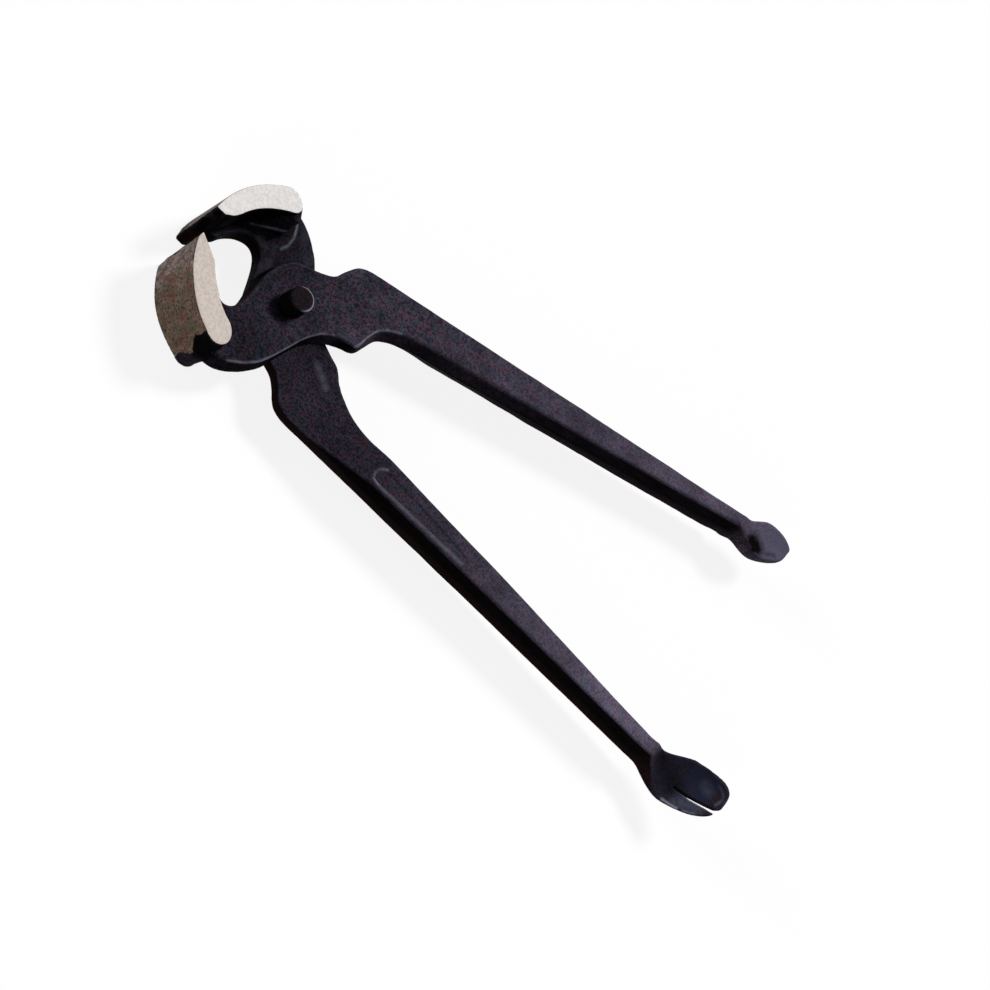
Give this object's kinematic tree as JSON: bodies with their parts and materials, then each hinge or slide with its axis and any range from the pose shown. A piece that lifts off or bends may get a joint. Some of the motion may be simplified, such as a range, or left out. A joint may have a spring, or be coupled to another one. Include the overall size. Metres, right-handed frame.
{
  "type": "carpenter's pincers",
  "caption": "Black forged pincers with ground jaws, lapped and riveted at the hub, one handle ending in a slotted nail claw and the other in a blunt leaf",
  "frame": {"origin": "middle of the opened tool's length and breadth, in the plane of the jaws' lower end faces", "axes": "+Z along the rivet, upwards; +X from the jaws to the handles; +Y to the side of the front lever's handle"},
  "size_m": [0.244, 0.1092, 0.023],
  "materials": {
    "lever_steel": "black forging scale, satin; jaw ends and jaw outsides ground bare",
    "rivet_steel": "black, satin, with a bright worn rim"
  },
  "bodies": {
    "back": {"back_lever": "lever_steel", "pivot_rivet": "rivet_steel"},
    "front": {"front_lever": "lever_steel"}
  },
  "joints": [
    {"name": "pivot", "type": "hinge", "parent": "back", "child": "front", "pos_m": [-0.08433, 0.00169, 0.0115], "axis": [0, 0, 1], "range_deg": [-14.4, 30]}
  ]
}
